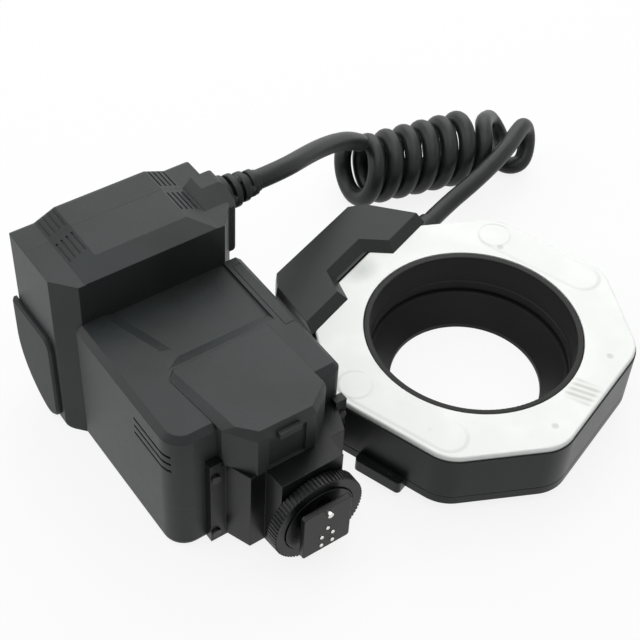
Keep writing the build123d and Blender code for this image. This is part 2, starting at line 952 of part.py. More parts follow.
def make_panel_latch():
    with BuildPart() as panel_latch:
        slab(
            latch_middle_x - latch_half_width,
            latch_middle_x + latch_half_width,
            panel_near_y - latch_proud,
            panel_near_y - latch_proud + latch_length,
            latch_low_z,
            latch_low_z + latch_height,
        )
    panel_latch.part.label = "panel_latch"
    export_step(panel_latch.part, "parts/panel_latch.step")


def end_plane(y):
    """A plane facing the foot end at a given Y, with its own X along X and its own Y upwards."""
    return Plane(origin=(0, y, 0), x_dir=(1, 0, 0), z_dir=(0, -1, 0))


def side_plane():
    """A plane facing +X through the origin, with its own X along Y and its own Y upwards."""
    return Plane(origin=(0, 0, 0), x_dir=(0, 1, 0), z_dir=(1, 0, 0))


def foot_screw_places():
    """Places of the bracket's screws on the body's end wall, as (x, z)."""
    height = flange_high_z - flange_low_z
    return [
        (x, flange_low_z + share * height)
        for x in (flange_low_x + foot_screw_inset, flange_high_x - foot_screw_inset)
        for share in foot_screw_height_shares
    ]


def cut_foot_screw_holes():
    disc(
        screw_shank_radius,
        -body_wall - overrun,
        overrun,
        foot_screw_places(),
        end_plane(body_end_y),
        mode=Mode.SUBTRACT,
    )


def make_body_front_shell():
    with BuildPart() as body_front_shell:
        body_block(body_seam, body_top)
        rim = body_front_shell.faces().sort_by(Axis.Z)[-1].edges().sort_by(Axis.Y)[:-1]
        chamfer(rim, body_top_chamfer)
        body_block(body_seam - overrun, body_top - body_top_wall, body_wall, mode=Mode.SUBTRACT)
        cut_soft_recess()
        for step in range(vent_count):
            low_z = vent_low_z + vent_spacing * step - vent_width / 2
            slab(
                body_low_x - overrun,
                body_low_x + body_wall * 2,
                vent_low_y,
                vent_high_y,
                low_z,
                low_z + vent_width,
                mode=Mode.SUBTRACT,
            )
        slab(
            door_hinge_x - seat_gap,
            body_high_x + overrun,
            door_low_y - seat_gap,
            door_high_y + seat_gap,
            door_low_z - seat_gap,
            body_top + overrun,
            mode=Mode.SUBTRACT,
        )
        cut_foot_screw_holes()
    body_front_shell.part.label = "body_front_shell"
    export_step(body_front_shell.part, "parts/body_front_shell.step")


def button_places():
    """Name and middle of each push button on the back."""
    row = ["mode_button", "select_button", "minus_button", "plus_button", "light_button"]
    first_x = display_middle_x - button_pitch * (len(row) - 1) / 2
    places = [(name, first_x + button_pitch * step, button_row_y) for step, name in enumerate(row)]
    return places + [("test_button", test_button_x, lower_row_y)]


def make_body_back_shell():
    inner_low_x = body_low_x + body_wall
    inner_high_x = body_high_x - body_wall
    inner_low_y = body_end_y + body_wall
    inner_high_y = body_head_y - body_wall
    post_inset = board_post_margin + board_post_radius
    post_places = [
        (x, y)
        for x in (inner_low_x + post_inset, inner_high_x - post_inset)
        for y in (inner_low_y + post_inset, inner_high_y - post_inset)
    ]
    with BuildPart() as body_back_shell:
        body_block(0, body_seam)
        rim = body_back_shell.faces().sort_by(Axis.Z)[0].edges().sort_by(Axis.Y)[:-1]
        fillet(rim, body_bottom_fillet)
        body_block(back_floor, body_seam + overrun, body_wall, mode=Mode.SUBTRACT)
        slab(
            body_low_x + back_pocket_margin,
            body_high_x - back_pocket_margin,
            body_end_y + back_pocket_margin,
            body_head_y - back_pocket_margin,
            -overrun,
            back_pocket_depth,
            mode=Mode.SUBTRACT,
        )
        slab(
            display_middle_x - display_width / 2 - seat_gap,
            display_middle_x + display_width / 2 + seat_gap,
            display_middle_y - display_length / 2 - seat_gap,
            display_middle_y + display_length / 2 + seat_gap,
            -overrun,
            back_floor + overrun,
            mode=Mode.SUBTRACT,
        )
        button_middles = [(x, y) for _, x, y in button_places()]
        disc(button_radius + running_gap, -overrun, back_floor + overrun, button_middles, mode=Mode.SUBTRACT)
        slab(
            switch_middle_x - switch_knob_width / 2 - running_gap,
            switch_middle_x + switch_travel + switch_knob_width / 2 + running_gap,
            lower_row_y - switch_knob_length / 2 - running_gap,
            lower_row_y + switch_knob_length / 2 + running_gap,
            -overrun,
            back_floor + overrun,
            mode=Mode.SUBTRACT,
        )
        disc(board_post_radius, back_floor, control_board_height, post_places)
        cut_foot_screw_holes()
    body_back_shell.part.label = "body_back_shell"
    export_step(body_back_shell.part, "parts/body_back_shell.step")


def make_controls():
    for name, x, y in button_places():
        flange_low = back_floor + flange_gap
        flange_high = flange_low + button_flange_height
        with BuildPart() as push_button:
            disc(button_radius, button_lift, flange_high, [(x, y)])
            disc(button_radius + button_flange, flange_low, flange_high, [(x, y)])
            disc(button_stem_radius, flange_low, button_stem_top, [(x, y)])
        push_button.part.label = name
        export_step(push_button.part, f"parts/{name}.step")

    half_width = switch_knob_width / 2
    half_length = switch_knob_length / 2
    flange_low = back_floor + flange_gap
    with BuildPart() as power_switch:
        slab(
            switch_middle_x - half_width,
            switch_middle_x + half_width,
            lower_row_y - half_length,
            lower_row_y + half_length,
            button_lift,
            flange_low + switch_flange,
        )
        slab(
            switch_middle_x - half_width - switch_flange,
            switch_middle_x + half_width + switch_flange,
            lower_row_y - half_length - switch_flange,
            lower_row_y + half_length + switch_flange,
            flange_low,
            flange_low + switch_flange,
        )
    power_switch.part.label = "power_switch"
    export_step(power_switch.part, "parts/power_switch.step")


def make_display():
    window_low = back_floor - flange_gap - display_thickness
    half_width = display_width / 2
    half_length = display_length / 2
    with BuildPart() as display_window:
        slab(
            display_middle_x - half_width,
            display_middle_x + half_width,
            display_middle_y - half_length,
            display_middle_y + half_length,
            window_low,
            window_low + display_thickness,
        )
    display_window.part.label = "display_window"
    export_step(display_window.part, "parts/display_window.step")

    with BuildPart() as display_panel:
        slab(
            display_middle_x - half_width - display_module_margin,
            display_middle_x + half_width + display_module_margin,
            display_middle_y - half_length - display_module_margin,
            display_middle_y + half_length + display_module_margin,
            back_floor,
            back_floor + display_module_height,
        )
    display_panel.part.label = "display_panel"
    export_step(display_panel.part, "parts/display_panel.step")


def make_main_circuit_board():
    with BuildPart() as main_circuit_board:
        slab(
            body_low_x + body_wall + control_board_margin,
            body_high_x - body_wall - control_board_margin,
            body_end_y + body_wall + control_board_margin,
            body_head_y - body_wall - control_board_margin,
            control_board_height,
            control_board_height + board_thickness,
        )
    main_circuit_board.part.label = "main_circuit_board"
    export_step(main_circuit_board.part, "parts/main_circuit_board.step")


def make_battery_door():
    with BuildPart() as battery_door:
        slab(door_hinge_x, body_high_x, door_low_y, door_high_y, door_low_z, body_top)
        long_edges = battery_door.edges().filter_by(Axis.Y)
        chamfer(long_edges.group_by(Axis.X)[-1].sort_by(Axis.Z)[-1], body_top_chamfer)
        slab(
            door_hinge_x - overrun,
            body_high_x - door_wall,
            door_low_y - overrun,
            door_high_y + overrun,
            door_low_z - overrun,
            body_top - body_top_wall,
            mode=Mode.SUBTRACT,
        )
    battery_door.part.label = "battery_door"
    export_step(battery_door.part, "parts/battery_door.step")

    plate_high_x = body_high_x - door_wall
    plate_margin = cell_radius / 2
    with BuildPart() as door_contact_plate:
        slab(
            plate_high_x - contact_sheet,
            plate_high_x,
            door_low_y + plate_margin,
            door_high_y - plate_margin,
            door_low_z + plate_margin,
            body_top - body_top_wall - plate_margin,
        )
    door_contact_plate.part.label = "door_contact_plate"
    export_step(door_contact_plate.part, "parts/door_contact_plate.step")


def cell_places():
    """Name, middle and side of the raised end of each battery cell."""
    middle_y = (door_low_y + door_high_y) / 2
    high_z = body_top - body_top_wall - cell_gap * 2 - cell_radius
    low_z = high_z - cell_radius * 2 - cell_gap
    apart = cell_radius + cell_gap / 2
    return [
        ("battery_cell_a", middle_y - apart, high_z, 1),
        ("battery_cell_b", middle_y + apart, high_z, -1),
        ("battery_cell_c", middle_y - apart, low_z, -1),
        ("battery_cell_d", middle_y + apart, low_z, 1),
    ]


def make_battery_cells():
    for name, y, z, side in cell_places():
        low = cell_left_x + (cell_nub_length if side < 0 else 0)
        with BuildPart() as battery_cell:
            disc(cell_radius, low, low + cell_length, [(y, z)], side_plane())
            disc(
                cell_nub_radius,
                cell_left_x,
                cell_left_x + cell_length + cell_nub_length,
                [(y, z)],
                side_plane(),
            )
        battery_cell.part.label = name
        export_step(battery_cell.part, f"parts/{name}.step")


def make_battery_tray():
    middle_y = (door_low_y + door_high_y) / 2
    half_width = cell_radius * 2 + cell_gap * 1.5
    inner_top = body_top - body_top_wall
    inner_low = inner_top - cell_radius * 4 - cell_gap * 4
    sheet_high_x = cell_left_x - cell_gap
    inner_left = sheet_high_x - contact_sheet
    with BuildPart() as battery_tray:
        slab(
            inner_left - tray_wall,
            tray_right_x,
            middle_y - half_width - tray_wall,
            middle_y + half_width + tray_wall,
            inner_low - tray_wall,
            inner_top,
        )
        slab(
            inner_left,
            tray_right_x + overrun,
            middle_y - half_width,
            middle_y + half_width,
            inner_low,
            inner_top + overrun,
            mode=Mode.SUBTRACT,
        )
    battery_tray.part.label = "battery_tray"
    export_step(battery_tray.part, "parts/battery_tray.step")

    with BuildPart() as battery_contacts:
        for name, y, z, side in cell_places():
            half = cell_radius - tray_wall
            slab(inner_left, sheet_high_x, y - half, y + half, z - half, z + half)
    battery_contacts.part.label = "battery_contacts"
    export_step(battery_contacts.part, "parts/battery_contacts.step")


def head_form(inset=0):
    """The head as a closed form, drawn in by a wall's thickness for its hollow."""
    low_x = head_low_x + inset
    high_x = head_high_x - inset
    near_y = body_head_y + inset
    far_y = head_far_y - inset
    top = head_top - inset
    shoulder = head_shoulder - inset
    left_ramp = head_low_x + head_low_flat
    right_ramp = head_high_x - head_low_flat
    front = [
        (low_x, inset),
        (high_x, inset),
        (high_x, shoulder),
        (right_ramp, shoulder),
        (right_ramp - head_ramp, top),
        (left_ramp + head_ramp, top),
        (left_ramp, shoulder),
        (low_x, shoulder),
    ]
    left_corner = [(low_x, near_y), (low_x + head_corner_x, near_y), (low_x, near_y + head_corner_y)]
    right_corner = [(high_x, near_y), (high_x, near_y + head_corner_y), (high_x - head_corner_x, near_y)]
    facet = [(near_y, top), (near_y, top - head_facet_drop), (near_y + head_facet_depth, top)]
    with BuildPart() as form:
        prism(front, 0, far_y - near_y, end_plane(far_y))
        long_edges = form.edges().filter_by(Axis.X)
        fillet(long_edges.group_by(Axis.Z)[0].sort_by(Axis.Y)[-1], head_heel_radius - inset)
        prism(left_corner, 0, head_top + overrun, mode=Mode.SUBTRACT)
        prism(right_corner, 0, head_top + overrun, mode=Mode.SUBTRACT)
        prism(facet, head_low_x - overrun, head_high_x + overrun, side_plane(), mode=Mode.SUBTRACT)
    return form.part


def lobe_form():
    """The raised corner of the head that the cord comes out of."""
    facet = [
        (lobe_low_y - overrun, head_top + overrun),
        (lobe_low_y - overrun, head_top - lobe_facet_drop),
        (lobe_low_y, head_top - lobe_facet_drop),
        (lobe_low_y + lobe_facet_length, head_top),
        (lobe_low_y + lobe_facet_length, head_top + overrun),
    ]
    side_slope = [
        (lobe_left_x - overrun, head_top + overrun),
        (lobe_left_x - overrun, head_top - lobe_side_slope),
        (lobe_left_x, head_top - lobe_side_slope),
        (lobe_left_x + lobe_side_slope, head_top),
        (lobe_left_x + lobe_side_slope, head_top + overrun),
    ]
    with BuildPart() as lobe:
        slab(lobe_left_x, lobe_right_x, lobe_low_y, head_seam_y, lobe_low_z, head_top)
        long_edges = lobe.edges().filter_by(Axis.Y).group_by(Axis.X)[-1]
        upright = lobe.edges().filter_by(Axis.Z).group_by(Axis.X)[-1].sort_by(Axis.Y)[0]
        fillet([*long_edges, upright], lobe_fillet)
        prism(facet, lobe_left_x - overrun, lobe_right_x + overrun, side_plane(), mode=Mode.SUBTRACT)
        prism(side_slope, 0, head_seam_y, end_plane(head_seam_y), mode=Mode.SUBTRACT)
    return lobe.part


def cut_ramp_ribs():
    """Grip grooves on both slopes of the head's top, on each side of the seam."""
    left_low = head_low_x + head_low_flat
    right_low = head_high_x - head_low_flat
    middle_z = (head_top + head_shoulder) / 2
    rise = head_top - head_shoulder
    for middle_x, slope in ((left_low + head_ramp / 2, rise), (right_low - head_ramp / 2, -rise)):
        ramp = Plane(origin=(middle_x, 0, middle_z), x_dir=(head_ramp, 0, slope), z_dir=(-slope, 0, head_ramp))
        for step in range(rib_count):
            across = rib_spacing * (step - (rib_count - 1) / 2)
            for low_y in (head_seam_y - rib_spacing - rib_length, head_seam_y + rib_spacing):
                slab(
                    across - rib_width / 2,
                    across + rib_width / 2,
                    low_y,
                    low_y + rib_length,
                    -rib_depth,
                    overrun,
                    ramp,
                    mode=Mode.SUBTRACT,
                )


def make_head_shells():
    seam = Plane(origin=(0, head_seam_y, 0), z_dir=(0, 1, 0))
    for name, kept in (("head_near_shell", Keep.BOTTOM), ("head_far_shell", Keep.TOP)):
        with BuildPart() as head_shell:
            add(head_form())
            far_edges = head_shell.faces().filter_by(Axis.Y).sort_by(Axis.Y)[-1].edges()
            fillet(far_edges.sort_by(Axis.Z)[1:], head_far_fillet)
            add(lobe_form())
            cut_ramp_ribs()
            add(head_form(head_wall), mode=Mode.SUBTRACT)
            split(bisect_by=seam, keep=kept)
        head_shell.part.label = name
        export_step(head_shell.part, f"parts/{name}.step")


def make_head_caps():
    far_y = head_far_y - cap_margin
    radius = head_heel_radius - cap_margin
    near_y = far_y - radius
    for name, x, side in (("head_cap_left", head_low_x, -1), ("head_cap_right", head_high_x, 1)):
        low, high = sorted((x, x + side * cap_proud))
        with BuildPart() as head_cap:
            with BuildSketch(side_plane().offset(low)) as outline:
                with BuildLine():
                    CenterArc((near_y, radius + cap_margin), radius, -90, 90)
                    Polyline(
                        (far_y, radius + cap_margin),
                        (far_y, cap_top),
                        (near_y, cap_top),
                        (near_y, cap_margin),
                    )
                make_face()
                fillet(outline.vertices().group_by(Axis.Y)[0], cap_near_bottom_radius)
                near_top = outline.vertices().group_by(Axis.Y)[-1].sort_by(Axis.X)[0]
                fillet(near_top, cap_near_top_radius)
            extrude(outline.sketch, amount=high - low)
            outer = head_cap.faces().sort_by(Axis.X)[-1 if side > 0 else 0]
            chamfer(outer.edges(), cap_edge_chamfer)
        head_cap.part.label = name
        export_step(head_cap.part, f"parts/{name}.step")


def make_flash_capacitor():
    middle_x = (head_low_x + head_high_x) / 2
    with BuildPart() as flash_capacitor:
        disc(
            capacitor_radius,
            middle_x - capacitor_length / 2,
            middle_x + capacitor_length / 2,
            [(capacitor_middle_y, capacitor_middle_z)],
            side_plane(),
        )
    flash_capacitor.part.label = "flash_capacitor"
    export_step(flash_capacitor.part, "parts/flash_capacitor.step")


def make_foot_bracket():
    front_y = body_end_y - bracket_depth
    middle_y = body_end_y - bracket_middle_depth
    wide_y = body_end_y - flange_depth
    right = [
        (bracket_wide_half_width, body_end_y),
        (bracket_wide_half_width, wide_y),
        (bracket_middle_half_width, middle_y),
        (bracket_front_half_width, middle_y),
        (bracket_front_half_width - bracket_front_slant, front_y),
    ]
    inner_right = [
        (bracket_wide_half_width - bracket_wall, body_end_y + overrun),
        (bracket_wide_half_width - bracket_wall, wide_y),
        (bracket_middle_half_width - bracket_wall, middle_y + bracket_wall),
        (bracket_front_half_width - bracket_wall, middle_y + bracket_wall),
        (bracket_front_half_width - bracket_front_slant - bracket_wall, front_y + bracket_wall),
    ]
    outline = [(foot_x + x, y) for x, y in right] + [(foot_x - x, y) for x, y in reversed(right)]
    inner = [(foot_x + x, y) for x, y in inner_right]
    inner += [(foot_x - x, y) for x, y in reversed(inner_right)]
    with BuildPart() as foot_bracket:
        prism(outline, bracket_low_z, bracket_high_z)
        slab(flange_low_x, flange_high_x, wide_y, body_end_y, flange_low_z, bracket_high_z)
        slab(flange_low_x, flange_low_x + flange_ear, wide_y, body_end_y, bracket_low_z, flange_high_z)
        slab(flange_high_x - flange_ear, flange_high_x, wide_y, body_end_y, bracket_low_z, flange_high_z)
        prism(inner, bracket_low_z + bracket_wall, bracket_high_z - bracket_wall, mode=Mode.SUBTRACT)
        disc(
            stem_radius,
            -bracket_wall - overrun,
            overrun,
            [(foot_x, foot_z)],
            end_plane(front_y),
            mode=Mode.SUBTRACT,
        )
        disc(
            screw_shank_radius,
            -overrun,
            flange_depth + overrun,
            foot_screw_places(),
            end_plane(body_end_y),
            mode=Mode.SUBTRACT,
        )
    foot_bracket.part.label = "foot_bracket"
    export_step(foot_bracket.part, "parts/foot_bracket.step")

    flange_face = end_plane(body_end_y - flange_depth)
    with BuildPart() as bracket_screws:
        disc(screw_shank_radius, -foot_screw_length, 0, foot_screw_places(), flange_face)
        disc(foot_screw_head_radius, 0, foot_screw_head_height, foot_screw_places(), flange_face)
    bracket_screws.part.label = "bracket_screws"
    export_step(bracket_screws.part, "parts/bracket_screws.step")


def shoe_levels():
    """Distances in front of the bracket: ring front, clamp plate back, shoe plate back and front."""
    ring_front = lock_ring_gap + lock_ring_thickness
    clamp_back = ring_front - lock_ring_recess_depth + clamp_back_gap
    shoe_back = clamp_back + clamp_thickness + shoe_gap
    return ring_front, clamp_back, shoe_back, shoe_back + shoe_thickness


def contact_places():
    """Name and middle of each contact pin, as (x, z)."""
    return [
        (name, foot_x + across * shoe_width, foot_z + along * shoe_length)
        for name, (across, along) in contact_shares.items()
    ]


def make_shoe_foot():
    ring_front, clamp_back, shoe_back, shoe_front = shoe_levels()
    front = end_plane(body_end_y - bracket_depth)
    middle = [(foot_x, foot_z)]
    pin_place = [(foot_x, foot_z + lock_pin_share * shoe_length)]
    with BuildPart() as shoe_foot:
        slab(
            foot_x - shoe_width / 2,
            foot_x + shoe_width / 2,
            foot_z - shoe_length / 2,
            foot_z + shoe_length / 2,
            shoe_back,
            shoe_front,
            front,
        )
        chamfer(shoe_foot.edges().filter_by(Axis.Y), shoe_chamfer)
        disc(stem_radius, -stem_root, shoe_back + overrun, middle, front)
        disc(lock_pin_radius + pin_gap, shoe_back - overrun, shoe_front + overrun, pin_place, front, mode=Mode.SUBTRACT)
        for name, x, z in contact_places():
            disc(contact_radius + pin_gap, shoe_back, shoe_front + overrun, [(x, z)], front, mode=Mode.SUBTRACT)
    shoe_foot.part.label = "shoe_foot"
    export_step(shoe_foot.part, "parts/shoe_foot.step")

    with BuildPart() as lock_pin:
        disc(lock_pin_radius, shoe_back - lock_pin_tail, shoe_front + lock_pin_proud, pin_place, front)
    lock_pin.part.label = "lock_pin"
    export_step(lock_pin.part, "parts/lock_pin.step")

    for name, x, z in contact_places():
        with BuildPart() as contact_pin:
            disc(contact_radius, shoe_front - contact_root, shoe_front + contact_proud, [(x, z)], front)
            tip = contact_pin.faces().sort_by(Axis.Y)[0].edges()
            fillet(tip, contact_radius / 2)
        contact_pin.part.label = name
        export_step(contact_pin.part, f"parts/{name}.step")


def make_lock_ring():
    ring_front, clamp_back, shoe_back, shoe_front = shoe_levels()
    front = end_plane(body_end_y - bracket_depth)
    middle = [(foot_x, foot_z)]
    pin_place = [(foot_x, foot_z + lock_pin_share * shoe_length)]
    with BuildPart() as lock_ring:
        disc(lock_ring_radius, lock_ring_gap, ring_front, middle, front)
        with BuildSketch(front) as knurl:
            with Locations((foot_x, foot_z)):
                with PolarLocations(lock_ring_radius, knurl_count):
                    Rectangle(knurl_depth * 2, knurl_width)
        extrude(knurl.sketch, amount=ring_front + overrun, mode=Mode.SUBTRACT)
        disc(
            lock_ring_recess_radius,
            ring_front - lock_ring_recess_depth,
            ring_front + overrun,
            middle,
            front,
            mode=Mode.SUBTRACT,
        )
        disc(stem_radius + running_gap, 0, ring_front + overrun, middle, front, mode=Mode.SUBTRACT)
    lock_ring.part.label = "lock_ring"
    export_step(lock_ring.part, "parts/lock_ring.step")

    with BuildPart() as clamp_plate:
        disc(clamp_radius, clamp_back, clamp_back + clamp_thickness, middle, front)
        disc(stem_radius + running_gap, 0, shoe_back, middle, front, mode=Mode.SUBTRACT)
        disc(lock_pin_clear_radius, 0, shoe_back, pin_place, front, mode=Mode.SUBTRACT)
    clamp_plate.part.label = "clamp_plate"
    export_step(clamp_plate.part, "parts/clamp_plate.step")


def coil_place(turns):
    """A point of the coil's middle line, a given number of turns from its start."""
    along = Vector(1, 0, 0).rotate(Axis.Z, coil_axis_turn)
    across = Vector(0, 1, 0).rotate(Axis.Z, coil_axis_turn)
    widening = max(0, 1 - turns / coil_first_share) ** 2
    drawing = max(0, 1 - (coil_turns - turns) / coil_end_share) ** 2
    growth = coil_growth * turns / coil_turns
    radius = coil_radius + (coil_first_radius - coil_radius) * widening + growth - coil_end_draw * drawing
    leaving = max(0, 1 - (coil_turns - turns) / coil_exit_share)
    angle = math.radians(coil_start_angle - 360 * turns)
    advance = coil_pitch * turns + coil_exit_advance * leaving**2 + coil_lean * math.sin(angle)
    middle = Vector(coil_start_x, coil_start_y, radius + cord_radius + coil_lift) + along * advance
    return middle + across * (radius * math.cos(angle)) + Vector(0, 0, radius * math.sin(angle))


def coil_way(turns):
    """The direction of the coil's middle line there."""
    return (coil_place(turns + coil_slope_step) - coil_place(turns - coil_slope_step)).normalized()


def bend_radii(route):
    """A bend radius for each corner of a route, from its runs and its turn."""
    radii = []
    for before, corner, after in zip(route, route[1:], route[2:]):
        arriving = corner - before
        leaving = after - corner
        half_turn = math.radians(arriving.get_angle(leaving)) / 2
        radii.append(bend_share * min(arriving.length, leaving.length) / math.tan(half_turn))
    return radii


def make_plain_cord(name, route):
    """One plain length of cord along its corners."""
    radii = bend_radii(route)
    with BuildPart() as cord:
        with BuildLine() as line:
            FilletPolyline(*route, radius=radii)
        with BuildSketch(Plane(origin=line.line @ 0, z_dir=line.line % 0)):
            Circle(cord_radius)
        sweep()
    length = line.wires()[0].length
    print(name, "length", round(length, 1), "bend radii", [round(radius, 1) for radius in radii])
    print(name, "volume", round(cord.part.volume), "section by length", round(math.pi * cord_radius**2 * length))
    cord.part.label = name
    export_step(cord.part, f"parts/{name}.step")


def make_cord_coil():
    steps = [coil_turns * step / coil_arcs for step in range(coil_arcs + 1)]
    places = [coil_place(turns) for turns in steps]
    ways = [coil_way(turns) for turns in steps]
    with BuildPart() as cord_coil:
        with BuildLine() as line:
            Line(places[0] - ways[0] * cord_diameter, places[0])
            for start, end, start_way, end_way in zip(places, places[1:], ways, ways[1:]):
                chord = end - start
                reach_along = chord.dot(start_way + end_way)
                spread = 2 * (1 - start_way.dot(end_way))
                reach = (math.sqrt(reach_along**2 + spread * chord.dot(chord)) - reach_along) / spread
                middle = (start + end + (start_way - end_way) * reach) / 2
                first_arc = TangentArc(start, middle, tangent=start_way)
                TangentArc(middle, end, tangent=first_arc % 1)
            Line(places[-1], places[-1] + ways[-1] * cord_diameter)
        with BuildSketch(Plane(origin=line.line @ 0, z_dir=line.line % 0)):
            Circle(cord_radius)
        sweep()
    wire = line.wires()[0]
    length = wire.length
    samples = [wire @ (index / 1200) for index in range(1201)]
    apart = round(cord_diameter * 2 / length * 1200)
    least = min(
        (samples[first] - samples[second]).length
        for first in range(0, 1201, 4)
        for second in range(first + apart, 1201)
    )
    print("cord_coil length", round(length, 1), "least gap to itself", round(least - cord_diameter, 2))
    print("cord_coil volume", round(cord_coil.part.volume), "section by length", round(math.pi * cord_radius**2 * length))
    cord_coil.part.label = "cord_coil"
    export_step(cord_coil.part, "parts/cord_coil.step")


def make_cords():
    boot_axis = arm_boot_plane().x_dir
    coil_start = coil_place(0) - coil_way(0) * cord_diameter
    coil_end = coil_place(coil_turns) + coil_way(coil_turns) * cord_diameter
    lead_end = coil_start - coil_way(0) * lead_last_run
    return_start = coil_end + coil_way(coil_turns) * return_first_run
    boot_end = Vector(*arm_boot_plane().from_local_coords((arm_boot_end, 0, 0)))
    lead = [Vector(head_boot_end_x, head_boot_y, head_boot_z)]
    lead += [Vector(*corner) for corner in lead_corners]
    make_plain_cord("cord_lead", lead + [lead_end, coil_start])
    back = [coil_end, return_start] + [Vector(*corner) for corner in return_corners]
    make_plain_cord("cord_return", back + [boot_end + boot_axis * return_last_run, boot_end])
    make_cord_coil()


make_front_diffuser()
make_ring_housing()
make_ring_back_plate()
make_ring_screws()
make_bore_sleeve()
make_lens_adapter_ring()
make_ring_circuit_board()
make_reflectors()
make_flash_tubes()
make_modelling_lamps()
make_release_buttons()
make_arm_cover()
make_arm_base()
make_cord_boots()
make_front_panel()
make_panel_latch()
make_body_front_shell()
make_body_back_shell()
make_controls()
make_display()
make_main_circuit_board()
make_battery_door()
make_battery_cells()
make_battery_tray()
make_head_shells()
make_head_caps()
make_flash_capacitor()
make_foot_bracket()
make_shoe_foot()
make_lock_ring()
make_cords()
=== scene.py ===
"""Looks of a macro ring flash, built on its CAD frame. Lengths are in metres."""
import math

import bmesh
import bpy
from mathutils import Matrix, Vector


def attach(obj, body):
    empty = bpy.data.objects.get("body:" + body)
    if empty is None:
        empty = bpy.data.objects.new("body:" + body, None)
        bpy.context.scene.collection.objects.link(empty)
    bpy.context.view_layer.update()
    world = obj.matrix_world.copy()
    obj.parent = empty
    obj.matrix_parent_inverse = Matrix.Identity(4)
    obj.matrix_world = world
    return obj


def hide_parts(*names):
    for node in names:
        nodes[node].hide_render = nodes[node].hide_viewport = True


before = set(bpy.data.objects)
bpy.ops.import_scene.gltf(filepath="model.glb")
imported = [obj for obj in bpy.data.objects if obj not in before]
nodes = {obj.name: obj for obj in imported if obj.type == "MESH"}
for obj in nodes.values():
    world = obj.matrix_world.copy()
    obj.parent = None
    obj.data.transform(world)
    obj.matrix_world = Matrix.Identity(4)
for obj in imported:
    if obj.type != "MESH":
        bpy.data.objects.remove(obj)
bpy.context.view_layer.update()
MM = 0.001

# Camera, fitted to the photograph: its angles are in degrees
camera_place = Vector((-0.2613, -0.2436, 0.3959))
camera_azimuth = 52.02
camera_pitch = 46.18
camera_roll = 3.748
camera_focal_length = 78.75
camera_sensor = 36.0

# Light
white = (1.0, 1.0, 1.0, 1.0)
world_strength = 0.14
floor_half_size = 6.0
floor_gap = 0.1 * MM
floor_colour = (0.9, 0.9, 0.9)
floor_roughness = 0.9
floor_shine = 0.86
lamp_reach = 1.3
# Each lamp's azimuth and elevation in degrees, its size and its radiance
lamps = [
    ("overhead lamp", 0, 90, 1.4, 1.7),
    ("back lamp", 142, 40, 1.2, 1.8),
    ("left lamp", -128, 30, 1.0, 1.7),
    ("right lamp", 75, 30, 0.9, 0.3),
]

# Plastic: each one's colour, roughness, grain size, grain depth and nodes
plastic_gloss = 0.22
plastic_edge_radius = 0.35 * MM
plastic_edge_gain = 2.2
plastic_cloud_size = 22 * MM
plastic_rub_size = 3 * MM
plastic_dust_size = 0.6 * MM
dust_colour = (0.2, 0.2, 0.2, 1.0)
plastics = [
    ("case plastic", (0.0215, 0.025, 0.025), 0.42, 0.45 * MM, 0.05 * MM,
     ["body_front_shell", "body_back_shell", "battery_door", "head_near_shell",
      "head_far_shell", "front_panel", "panel_latch"]),
    ("cap plastic", (0.019, 0.0225, 0.0225), 0.55, 0.4 * MM, 0.06 * MM,
     ["head_cap_left", "head_cap_right"]),
    ("bracket plastic", (0.0045, 0.005, 0.0052), 0.32, 0.5 * MM, 0.04 * MM,
     ["foot_bracket", "lock_ring", "clamp_plate", "shoe_foot"]),
    ("ring plastic", (0.009, 0.0105, 0.0102), 0.34, 0.4 * MM, 0.03 * MM,
     ["ring_housing", "ring_back_plate", "arm_cover", "arm_base", "release_button_left",
      "release_button_right"]),
    ("bore plastic", (0.005, 0.005, 0.005), 0.5, 0.4 * MM, 0.02 * MM,
     ["bore_sleeve", "lens_adapter_ring", "battery_tray"]),
    ("key rubber", (0.05, 0.05, 0.053), 0.6, 0.3 * MM, 0.03 * MM,
     ["mode_button", "select_button", "minus_button", "plus_button", "light_button",
      "test_button", "power_switch"]),
]

# Metal: each one's colour, roughness, grain size and nodes
metals = [
    ("reflector metal", (0.85, 0.85, 0.86), 0.2, 1 * MM, ["reflector_a", "reflector_b"]),
    ("spring steel", (0.5, 0.5, 0.5), 0.35, 0.8 * MM, ["battery_contacts", "door_contact_plate"]),
    ("blackened steel", (0.06, 0.06, 0.06), 0.4, 0.5 * MM, ["ring_screws", "bracket_screws"]),
    ("pin plating", (0.8, 0.79, 0.76), 0.22, 0.4 * MM,
     ["lock_pin", "contact_pin_centre", "contact_pin_a", "contact_pin_b", "contact_pin_c",
      "contact_pin_d"]),
]

# Ring: the diffuser's bulges and painted shade marks, in the ring's own turned frame. A pair of
# radii or heights is where a feature starts to fade and where it ends.
ring_turn = math.radians(19.7)
milk = (0.85, 0.87, 0.85)
diffuser_edge_radius = 0.5 * MM
diffuser_relief = 0.35 * MM
diffuser_side_heights = (26.6 * MM, 27.4 * MM)
# Painted shade on the skirt below the diffuser's top face
diffuser_skirt_painted_shade = (0.22, 0.25, 0.22, 1.0)
# Painted shade on the diffuser's rounded edges
diffuser_edge_painted_shade = (0.40, 0.42, 0.37, 1.0)
window_middle = 48.5 * MM
window_half_width = 7.8 * MM
window_half_length = 26.5 * MM
window_core_share = 0.72
# Painted shade of the tubes and lamps seen through the milky cover, and along the bulges' rims
tube_painted_shade = (0.78, 0.81, 0.79, 1.0)
bulge_rim_painted_shade = (0.70, 0.73, 0.70, 1.0)
lamp_mark_along = 19.5 * MM
lamp_mark_radii = (5.4 * MM, 7.0 * MM)
